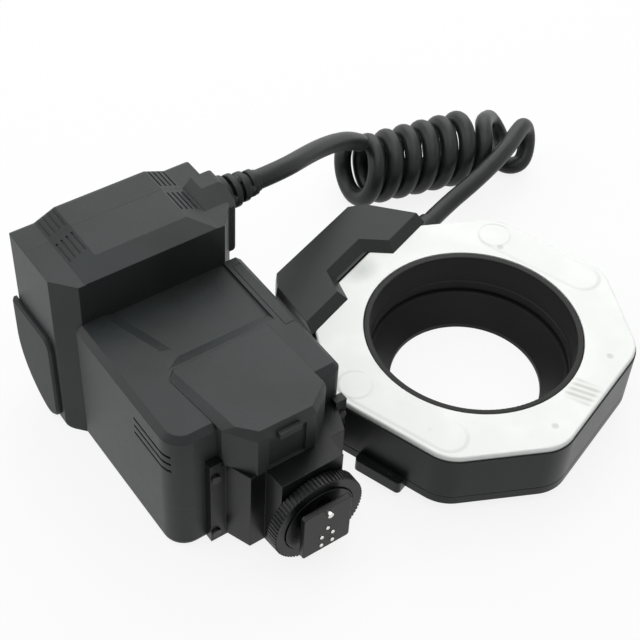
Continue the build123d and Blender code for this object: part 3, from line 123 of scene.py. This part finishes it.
# The grey patch and the ribs: painted shade of inner parts seen through the milky cover
blotch_middle = (0.6 * MM, 50.5 * MM)
blotch_squeeze = 0.8
blotch_radii = (2.5 * MM, 8.5 * MM)
blotch_core_radii = (1.5 * MM, 3.6 * MM)
inner_part_painted_shade = (0.42, 0.46, 0.43, 1.0)
ribs_middle = (-2.8 * MM, -46.2 * MM)
ribs_half_size = 4.8 * MM
ribs_blur = 1.5 * MM
ribs_pitch = 2.6 * MM
ribs_lean = 500
ribs_painted_shade = (0.42, 0.43, 0.36, 1.0)
speck_places = [(43.9 * MM, 14.2 * MM), (18.5 * MM, -46.0 * MM), (-22.4 * MM, -45.7 * MM)]
speck_radii = (0.7 * MM, 1.7 * MM)
speck_tint = (0.35, 0.38, 0.35, 1.0)

# Inside
board_row_pitch = 2.4 * MM
board_column_pitch = 3.1 * MM
cell_band_heights = (40.5 * MM, 40.7 * MM)
capacitor_stripe_height = 47 * MM
capacitor_stripe_half_width = 2 * MM
crystal_pitch = 0.5 * MM

# The head's cord boot
boot_axis = Vector((0.0, 73.5, 67.8)) * MM
boot_start = -62.5 * MM
boot_end = -46.5 * MM
boot_rings = 4
boot_ring_share = 0.6
boot_root_radius = 7.0 * MM
boot_tip_radius = 4.9 * MM
boot_core_radius = 4.1 * MM
boot_round = 0.4 * MM
boot_sides = 48
boot_web_width = 4.2 * MM
boot_web_reach = 1.75

# Cord
rubber_gloss = 0.25
cord_diameter = 7.4 * MM
coil_azimuth = math.radians(-13.6)
coil_start = Vector((23.6, 107.0, 0.0)) * MM
coil_radius = 11.4 * MM
coil_first_radius = 12.6 * MM
coil_first_share = 0.9
coil_lift = 0.05 * MM
coil_lean = 2.1 * MM
coil_growth = 1.0 * MM
coil_end_draw = 1.9 * MM
coil_end_share = 0.7
coil_pitch = 8.25 * MM
coil_turns = 7.0
coil_start_angle = math.radians(60)
coil_exit_advance = 4.6 * MM
coil_exit_share = 0.2
coil_slope_step = 0.0001
coil_points_per_turn = 16
# The points are in millimetres
lead_start = (-46.5, 73.5, 67.8)
lead_points = [
    (-35.0, 73.5, 67.8),
    (-20.0, 80.8, 62.2),
    (-6.0, 88.2, 55.4),
    (8.0, 95.2, 47.4),
    (18.2, 99.8, 39.8),
]
lead_last_run = 6.0 * MM
return_first_run = 5.0 * MM
return_points = [
    (98.7, 102.6, 13.4),
    (100.2, 98.4, 8.0),
    (97.8, 94.4, 4.7),
    (93.4, 92.1, 3.8),
    (92.0, 87.4, 3.8),
    (94.5, 83.0, 4.3),
    (99.2, 82.0, 5.6),
    (103.7, 85.2, 9.5),
    (105.2, 88.0, 15.2),
    (102.4, 88.0, 20.6),
    (95.8, 84.4, 22.6),
    (81.5, 76.8, 22.4),
    (62.0, 71.0, 20.4),
    (43.57, 68.18, 17.0),
]
return_end = (30.39, 63.46, 17.0)


class Value:
    """A node's number socket that Python's operators work on."""

    def __init__(self, finish, socket):
        self.finish = finish
        self.socket = socket

    def math(self, operation, first, second=0.0):
        sockets = {0: first, 1: second}
        return self.finish.node("ShaderNodeMath", {"operation": operation}, sockets)

    def __add__(self, other):
        return self.math("ADD", self, other)

    def __sub__(self, other):
        return self.math("SUBTRACT", self, other)

    def __rsub__(self, other):
        return self.math("SUBTRACT", other, self)

    def __mul__(self, other):
        return self.math("MULTIPLY", self, other)

    def __abs__(self):
        return self.math("ABSOLUTE", self)

    def __pow__(self, other):
        return self.math("POWER", self, other)

    def larger(self, other):
        return self.math("MAXIMUM", self, other)

    def wave(self, pitch, bend=0.0):
        """A sine along a length, -1 to 1, shifted by bend."""
        return self.math("SINE", self * (2 * math.pi / pitch) + bend)

    def fade(self, low, high):
        """0 below low, 1 above high, and smooth between them."""
        settings = {"interpolation_type": "SMOOTHSTEP"}
        sockets = {"Value": self, "From Min": low, "From Max": high}
        return self.finish.node("ShaderNodeMapRange", settings, sockets)


class Finish:
    """One material, with its shader and the ways to add nodes to it."""

    def __init__(self, name, colour, roughness, **sockets):
        self.material = bpy.data.materials.new(name)
        self.material.use_nodes = True
        self.tree = self.material.node_tree
        self.shader = self.tree.nodes["Principled BSDF"]
        self.look(**{"Base Color": (*colour, 1.0), "Roughness": roughness, **sockets})

    def feed(self, node, sockets):
        """Sets or links a node's sockets."""
        for key, value in sockets.items():
            if isinstance(value, Value):
                self.tree.links.new(value.socket, node.inputs[key])
            else:
                node.inputs[key].default_value = value

    def look(self, **sockets):
        """Sets or links the shader's sockets."""
        self.feed(self.shader, sockets)

    def node(self, kind, settings, sockets, output=0):
        """A node of any kind: its settings come first, then its sockets' values or links."""
        node = self.tree.nodes.new(kind)
        for key, value in settings.items():
            setattr(node, key, value)
        self.feed(node, sockets)
        return Value(self, node.outputs[output])

    def place(self, turn=0.0):
        """The object's own coordinates, turned about Z."""
        place = self.node("ShaderNodeTexCoord", {}, {}, "Object")
        return self.node("ShaderNodeMapping", {}, {"Vector": place, "Rotation": (0.0, 0.0, turn)})

    def axes(self, vector):
        """The three numbers of a vector."""
        return [self.node("ShaderNodeSeparateXYZ", {}, {0: vector}, axis) for axis in range(3)]

    def noise(self, size, detail=2.0):
        """Soft noise around 0.5, with lumps of about the given size."""
        sockets = {"Vector": self.place(), "Scale": 1 / size, "Detail": detail}
        return self.node("ShaderNodeTexNoise", {}, sockets)

    def mix(self, share, first, second):
        """A colour between two others."""
        sockets = {"Factor": share, 6: first, 7: second}
        return self.node("ShaderNodeMix", {"data_type": "RGBA"}, sockets, 2)

    def edge_wear_and_shade(self, radius):
        """The normal rounded over the edges, and how far it turns from the flat face: rubbed wear
        on the plastics, painted edge shade on the diffuser.
        """
        rounded = self.node("ShaderNodeBevel", {"samples": 6}, {"Radius": radius})
        flat = self.node("ShaderNodeNewGeometry", {}, {}, "True Normal")
        settings = {"operation": "DOT_PRODUCT"}
        facing = self.node("ShaderNodeVectorMath", settings, {0: rounded, 1: flat}, "Value")
        return rounded, (1 - facing).fade(0.01, 0.16)

    def bump(self, height, depth, normal=None):
        """A surface raised by depth where height is 1."""
        sockets = {"Height": height, "Distance": depth, "Strength": 1.0}
        if normal:
            sockets["Normal"] = normal
        self.look(Normal=self.node("ShaderNodeBump", {}, sockets))


def scaled(colour, factor):
    """A colour made darker or lighter, with full alpha."""
    return tuple(channel * factor for channel in colour[:3]) + (1.0,)


def moulded_plastic(name, colour, roughness, grain_size, grain_depth):
    """Moulded plastic: fine grain, cloudy sheen, dust, and edges rubbed a little lighter."""
    finish = Finish(name, colour, roughness, **{"Specular IOR Level": plastic_gloss})
    rounded, edge = finish.edge_wear_and_shade(plastic_edge_radius)
    cloud = finish.noise(plastic_cloud_size, 3.0)
    rub = finish.noise(plastic_rub_size, 3.0)
    dust = finish.noise(plastic_dust_size, 1.0).fade(0.76, 0.79)
    worn = edge * rub.fade(0.35, 0.65)
    base = finish.mix(cloud.fade(0.3, 0.7), scaled(colour, 0.85), scaled(colour, 1.2))
    base = finish.mix(worn * 0.7, base, scaled(colour, plastic_edge_gain))
    base = finish.mix(dust * 0.2, base, dust_colour)
    sheen = cloud * 0.08 + rub * 0.06 + (roughness - 0.07) - worn * 0.08
    finish.look(**{"Base Color": base, "Roughness": sheen})
    finish.bump(finish.noise(grain_size, 1.0), grain_depth, rounded)
    return finish.material


def cord_jacket():
    """Smooth dark rubber with faint smears and dust."""
    colour = (0.013, 0.0145, 0.0145)
    finish = Finish("cord jacket", colour, 0.4, **{"Specular IOR Level": rubber_gloss})
    smear = finish.noise(9 * MM, 3.0)
    dust = finish.noise(0.8 * MM, 1.0).fade(0.74, 0.78)
    base = finish.mix(smear.fade(0.35, 0.7), scaled(colour, 0.8), scaled(colour, 1.35))
    base = finish.mix(dust * 0.15, base, dust_colour)
    finish.look(**{"Base Color": base, "Roughness": smear * 0.16 + 0.32})
    finish.bump(finish.noise(0.5 * MM, 1.0), 0.012 * MM)
    return finish.material


def soft_box(across, along, middle, half_size, blur):
    """1 inside a square with blurred sides."""
    aside = (abs(across - middle[0]) - half_size).fade(-blur, blur)
    past = (abs(along - middle[1]) - half_size).fade(-blur, blur)
    return (1 - aside) * (1 - past)


def distance_to(across, along, middle):
    """How far a point of the surface is from a feature's middle."""
    return ((across - middle[0]) ** 2 + (along - middle[1]) ** 2) ** 0.5


def diffuser_plastic():
    """Milky plastic with bulges over the tubes and lamps. Painted shade: the tubes and lamps
    showing through as two long windows with two round marks on each, inner parts as a ribbed patch
    and a grey patch, a shaded skirt and darker edges; and specks."""
    finish = Finish("milky diffuser", milk, 0.3, **{"Coat Weight": 0.25})
    # edge carries painted shade on the diffuser's rounded edges
    rounded, edge = finish.edge_wear_and_shade(diffuser_edge_radius)
    across, along, height = finish.axes(finish.place(-ring_turn))
    past = (abs(along) - (window_half_length - window_half_width)).larger(0.0)
    off_window = ((abs(across) - window_middle) ** 2 + past ** 2) ** 0.5
    window = 1 - off_window.fade(window_half_width * window_core_share, window_half_width)
    rim = window * (1 - window) * 4
    lamp_middle = (window_middle, lamp_mark_along)
    lamp = 1 - distance_to(abs(across), along, lamp_middle).fade(*lamp_mark_radii)
    lamp_rim = lamp * (1 - lamp) * 4
    # Painted shade of inner parts seen through the cover: a grey patch and ribs
    grey = 1 - distance_to(across * blotch_squeeze, along, blotch_middle).fade(*blotch_radii)
    core = 1 - distance_to(across, along, blotch_middle).fade(*blotch_core_radii)
    ribs_box = soft_box(across, along, ribs_middle, ribs_half_size, ribs_blur)
    ribs = ribs_box * (across.wave(ribs_pitch, along * ribs_lean) * 0.5 + 0.5)
    first, *others = [1 - distance_to(across, along, spot).fade(*speck_radii)
                      for spot in speck_places]
    specks = first
    for speck in others:
        specks = specks.larger(speck)
    # Painted shade on the skirt below the top face
    side = 1 - height.fade(*diffuser_side_heights)
    cloud = finish.noise(16 * MM, 2.0)
    base = finish.mix(cloud.fade(0.35, 0.75), scaled(milk, 0.96), scaled(milk, 1.03))
    # The rims, windows, grey patch, ribs, skirt and edges below are painted shade
    layers = [
        (rim * 0.35 + lamp_rim * 0.3, bulge_rim_painted_shade),
        (window * 0.14, tube_painted_shade),
        (grey * 0.5 + core * 0.15, inner_part_painted_shade),
        (ribs * 0.55 + ribs_box * 0.12, ribs_painted_shade),
        (specks * 0.45, speck_tint),
        (side * 0.75, diffuser_skirt_painted_shade),
        (edge * 0.45, diffuser_edge_painted_shade),
    ]
    for share, tint in layers:
        base = finish.mix(share, base, tint)
    finish.look(**{"Base Color": base, "Roughness": cloud * 0.12 + 0.24})
    relief = window * 0.8 + lamp * 0.6 + finish.noise(2.5 * MM) * 0.05
    finish.bump(relief, diffuser_relief, rounded)
    return finish.material


def bare_metal(name, colour, roughness, grain_size):
    """Metal with a fine uneven grain."""
    finish = Finish(name, colour, roughness, Metallic=1.0)
    grain = finish.noise(grain_size, 3.0)
    base = finish.mix(grain, scaled(colour, 0.8), scaled(colour, 1.05))
    finish.look(**{"Base Color": base, "Roughness": grain * 0.2 + (roughness - 0.1)})
    finish.bump(grain, 0.01 * MM)
    return finish.material


def printed_board():
    """Green board lacquer with fine tracks."""
    finish = Finish("board lacquer", (0.02, 0.16, 0.06), 0.35)
    x, y, _ = finish.axes(finish.place())
    bend = finish.noise(9 * MM) * 9
    rows = x.wave(board_row_pitch, bend).fade(0.55, 0.75)
    columns = y.wave(board_column_pitch, bend).fade(0.7, 0.85)
    tracks = rows.larger(columns) * 0.7
    base = finish.mix(tracks, (0.015, 0.12, 0.045, 1.0), (0.04, 0.27, 0.1, 1.0))
    finish.look(**{"Base Color": base})
    finish.bump(rows, 0.03 * MM)
    return finish.material


def clear_glass():
    """Clear glass with a faint milky cast."""
    finish = Finish("lamp glass", (0.9, 0.93, 0.95), 0.08, Alpha=0.45)
    haze = finish.noise(4 * MM)
    base = finish.mix(haze, (0.82, 0.86, 0.88, 1.0), (0.95, 0.97, 0.98, 1.0))
    finish.look(**{"Base Color": base})
    return finish.material


def cell_sleeve():
    """The cells' plain dark sleeve, with a copper band at one end."""
    finish = Finish("cell sleeve", (0.05, 0.05, 0.06), 0.3, **{"Coat Weight": 0.5})
    _, along, _ = finish.axes(finish.place())
    band = along.fade(*cell_band_heights)
    scuff = finish.noise(2 * MM, 4.0).fade(0.6, 0.75)
    base = finish.mix(band, (0.03, 0.03, 0.035, 1.0), (0.62, 0.38, 0.1, 1.0))
    base = finish.mix(scuff * 0.2, base, (0.4, 0.4, 0.4, 1.0))
    finish.look(**{"Base Color": base})
    return finish.material


def capacitor_sleeve():
    """Dark blue shrunk sleeve with a pale stripe along one side."""
    finish = Finish("capacitor sleeve", (0.03, 0.04, 0.09), 0.28)
    _, _, height = finish.axes(finish.place())
    middle = (capacitor_stripe_height, capacitor_stripe_height)
    stripe = soft_box(height, height, middle, capacitor_stripe_half_width, 0.2 * MM)
    base = finish.mix(stripe, (0.03, 0.04, 0.09, 1.0), (0.5, 0.52, 0.55, 1.0))
    finish.look(**{"Base Color": base})
    finish.bump(finish.noise(3 * MM), 0.08 * MM)
    return finish.material


def display_glass():
    """The display's clear grey window, faintly scratched."""
    finish = Finish("display window", (0.2, 0.22, 0.2), 0.12, Alpha=0.35)
    scratch = finish.noise(1.2 * MM, 5.0).fade(0.62, 0.72)
    finish.look(Roughness=scratch * 0.25 + 0.08)
    return finish.material


def liquid_crystal():
    """Grey green display face, blank, with a faint cell grid."""
    finish = Finish("liquid crystal", (0.36, 0.4, 0.33), 0.25)
    x, y, _ = finish.axes(finish.place())
    lines = x.wave(crystal_pitch).larger(y.wave(crystal_pitch)).fade(0.9, 1.0)
    base = finish.mix(lines * 0.3, (0.36, 0.4, 0.33, 1.0), (0.25, 0.28, 0.23, 1.0))
    finish.look(**{"Base Color": base})
    return finish.material


def coat(material, names):
    """Gives CAD nodes their material."""
    for name in names:
        for slot in nodes[name].material_slots:
            slot.material = material


def coat_frame():
    """Gives every CAD node that the scene shows its material, but for the arm's boot."""
    for *finish, names in plastics:
        coat(moulded_plastic(*finish), names)
    for *finish, names in metals:
        coat(bare_metal(*finish), names)
    coat(diffuser_plastic(), ["front_diffuser"])
    lamp_parts = ["flash_tube_a", "flash_tube_b", "modelling_lamp_a", "modelling_lamp_b"]
    coat(clear_glass(), lamp_parts)
    coat(printed_board(), ["ring_circuit_board", "main_circuit_board"])
    cells = ["battery_cell_a", "battery_cell_b", "battery_cell_c", "battery_cell_d"]
    coat(cell_sleeve(), cells)
    coat(capacitor_sleeve(), ["flash_capacitor"])
    coat(display_glass(), ["display_window"])
    coat(liquid_crystal(), ["display_panel"])


def add_object(name, data):
    """A new object in the scene."""
    made = bpy.data.objects.new(name, data)
    bpy.context.scene.collection.objects.link(made)
    return made


def add_mesh(name, shape, material):
    """An object of one material from a finished bmesh."""
    mesh = bpy.data.meshes.new(name)
    shape.to_mesh(mesh)
    shape.free()
    mesh.materials.append(material)
    return add_object(name, mesh)


def coil_place(turns):
    """A point of the coil's middle line, a given number of turns from its start."""
    along = Vector((math.cos(coil_azimuth), math.sin(coil_azimuth), 0.0))
    across = Vector((-math.sin(coil_azimuth), math.cos(coil_azimuth), 0.0))
    widening = max(0.0, 1 - turns / coil_first_share) ** 2
    drawing = max(0.0, 1 - (coil_turns - turns) / coil_end_share) ** 2
    growth = coil_growth * turns / coil_turns
    widened = coil_radius + (coil_first_radius - coil_radius) * widening
    radius = widened + growth - coil_end_draw * drawing
    leaving = max(0.0, 1 - (coil_turns - turns) / coil_exit_share)
    angle = coil_start_angle - 2 * math.pi * turns
    advance = coil_pitch * turns + coil_exit_advance * leaving ** 2 + coil_lean * math.sin(angle)
    rise = Vector((0.0, 0.0, radius + cord_diameter / 2 + coil_lift + radius * math.sin(angle)))
    return coil_start + along * advance + across * (radius * math.cos(angle)) + rise


def coil_way(turns):
    """The direction of the coil's middle line there."""
    step = coil_slope_step
    return (coil_place(turns + step) - coil_place(turns - step)).normalized()


def cord_route():
    """Every control point of the cord, from the head's boot through the coil to the arm's boot."""
    steps = round(coil_turns * coil_points_per_turn)
    coil = [coil_place(coil_turns * step / steps) for step in range(steps + 1)]
    first_tail = coil[0] - coil_way(0.0) * cord_diameter
    last_tail = coil[-1] + coil_way(coil_turns) * cord_diameter
    before = [Vector(point) * MM for point in [lead_start, *lead_points]]
    before += [first_tail - coil_way(0.0) * lead_last_run, first_tail]
    after = [last_tail, last_tail + coil_way(coil_turns) * return_first_run]
    after += [Vector(point) * MM for point in [*return_points, return_end]]
    return before + coil + after


def make_cord(jacket):
    """The coiled cord as one smooth tube."""
    curve = bpy.data.curves.new("coiled_cord", "CURVE")
    curve.dimensions = "3D"
    curve.bevel_depth = cord_diameter / 2
    curve.bevel_resolution = 6
    curve.resolution_u = 4
    route = cord_route()
    spline = curve.splines.new("NURBS")
    spline.points.add(len(route) - 1)
    for point, place in zip(spline.points, route):
        point.co = (*place, 1.0)
    spline.order_u = 3
    spline.use_endpoint_u = True
    curve.materials.append(jacket)
    cord = add_object("coiled_cord", curve)
    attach(cord, "flash")
    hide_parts("cord_lead", "cord_coil", "cord_return")


def add_bar(shape, start, end, radius):
    """A round bar along the boot's axis, with its two ends rounded."""
    middle = boot_axis + Vector(((start + end) / 2, 0.0, 0.0))
    across = Matrix.Translation(middle) @ Matrix.Rotation(math.pi / 2, 4, "Y")
    made = bmesh.ops.create_cone(shape, cap_ends=True, segments=boot_sides, radius1=radius,
                                 radius2=radius, depth=end - start, matrix=across)
    rims = {edge for point in made["verts"] for edge in point.link_edges
            if any(len(face.verts) > 4 for face in edge.link_faces)}
    bmesh.ops.bevel(shape, geom=list(rims), offset=boot_round, segments=3, affect="EDGES",
                    profile=0.5, material=-1)


def add_web(shape, start, end, radius, turn):
    """A flat web across a gap of the boot, turned about the axis."""
    middle = boot_axis + Vector(((start + end) / 2, 0.0, 0.0))
    turned = Matrix.Translation(middle) @ Matrix.Rotation(turn, 4, "X")
    length = end - start + boot_round * 2
    size = Matrix.Diagonal((length, radius * boot_web_reach, boot_web_width, 1.0))
    bmesh.ops.create_cube(shape, size=1.0, matrix=turned @ size)


def make_head_boot(jacket):
    """The head's strain relief: rings on a slim core, tied by webs that alternate."""
    shape = bmesh.new()
    pitch = (boot_end - boot_start) / boot_rings
    narrowing = (boot_tip_radius - boot_root_radius) / (boot_rings - 1)
    add_bar(shape, boot_start, boot_end, boot_core_radius)
    for ring in range(boot_rings):
        start = boot_start + pitch * ring
        end = start + pitch * boot_ring_share
        radius = boot_root_radius + narrowing * ring
        add_bar(shape, start, end, radius)
        if ring < boot_rings - 1:
            add_web(shape, end, start + pitch, radius, math.pi / 2 * (ring % 2))
    boot = add_mesh("ringed_head_boot", shape, jacket)
    faces = boot.data.polygons
    faces.foreach_set("use_smooth", [len(face.vertices) == 4 for face in faces])
    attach(boot, "flash")
    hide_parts("head_cord_boot")


def make_camera():
    """The camera, at the photograph's place and angle."""
    azimuth = math.radians(camera_azimuth)
    pitch = math.radians(camera_pitch)
    roll = math.radians(camera_roll)
    level = Vector((math.cos(azimuth), math.sin(azimuth), 0.0))
    forward = level * math.cos(pitch) - Vector((0.0, 0.0, math.sin(pitch)))
    right = Vector((math.sin(azimuth), -math.cos(azimuth), 0.0))
    up = right.cross(forward)
    turned_right = right * math.cos(roll) + up * math.sin(roll)
    turned_up = up * math.cos(roll) - right * math.sin(roll)
    turned = Matrix((turned_right, turned_up, -forward)).transposed()
    data = bpy.data.cameras.new("camera")
    data.sensor_width = camera_sensor
    data.lens = camera_focal_length
    data.clip_start = 0.01
    camera = add_object("camera", data)
    camera.matrix_world = Matrix.Translation(camera_place) @ turned.to_4x4()
    bpy.context.scene.camera = camera


def seen_directly(finish):
    """1 for rays from the camera, a gloss or through glass."""
    paths = ["Is Camera Ray", "Is Glossy Ray", "Is Transmission Ray"]
    camera, glossy, through = [finish.node("ShaderNodeLightPath", {}, {}, path) for path in paths]
    return camera.larger(glossy).larger(through)


def make_floor():
    """A white floor that keeps a soft shadow."""
    finish = Finish("floor", floor_colour, floor_roughness)
    glow = finish.node("ShaderNodeEmission", {}, {"Color": white, "Strength": 1.0})
    shader = Value(finish, finish.shader.outputs[0])
    share = seen_directly(finish) * floor_shine
    mixed = finish.node("ShaderNodeMixShader", {}, {0: share, 1: shader, 2: glow})
    finish.feed(finish.tree.nodes["Material Output"], {"Surface": mixed})
    shape = bmesh.new()
    bmesh.ops.create_grid(shape, x_segments=1, y_segments=1, size=floor_half_size,
                          matrix=Matrix.Translation((0.0, 0.0, -floor_gap)))
    add_mesh("floor", shape, finish.material)


def make_world():
    """Even dim light, with a white background where it is seen."""
    world = bpy.data.worlds.new("studio")
    world.use_nodes = True
    bpy.context.scene.world = world
    tree = world.node_tree
    background = tree.nodes["Background"]
    path = tree.nodes.new("ShaderNodeLightPath")
    seen = path.outputs["Is Camera Ray"]
    for kind in ("Is Glossy Ray", "Is Transmission Ray"):
        either = tree.nodes.new("ShaderNodeMath")
        either.operation = "MAXIMUM"
        tree.links.new(seen, either.inputs[0])
        tree.links.new(path.outputs[kind], either.inputs[1])
        seen = either.outputs["Value"]
    strength = tree.nodes.new("ShaderNodeMapRange")
    strength.inputs["To Min"].default_value = world_strength
    tree.links.new(seen, strength.inputs["Value"])
    tree.links.new(strength.outputs["Result"], background.inputs["Strength"])
    background.inputs["Color"].default_value = white


def make_lamp(name, azimuth, elevation, size, radiance):
    """A square soft lamp, in a direction from the object, facing it."""
    away = Vector((0.0, -1.0, 0.0))
    away.rotate(Matrix.Rotation(math.radians(-elevation), 3, "X"))
    away.rotate(Matrix.Rotation(math.radians(azimuth), 3, "Z"))
    data = bpy.data.lights.new(name, "AREA")
    data.shape = "SQUARE"
    data.size = size
    data.energy = radiance * math.pi * size * size
    lamp = add_object(name, data)
    lamp.location = away * lamp_reach
    lamp.rotation_euler = away.to_track_quat("Z", "Y").to_euler()


bpy.context.scene.view_settings.view_transform = "Standard"
make_camera()
make_world()
make_floor()
for lamp in lamps:
    make_lamp(*lamp)
coat_frame()
jacket = cord_jacket()
coat(jacket, ["arm_cord_boot"])
make_cord(jacket)
make_head_boot(jacket)
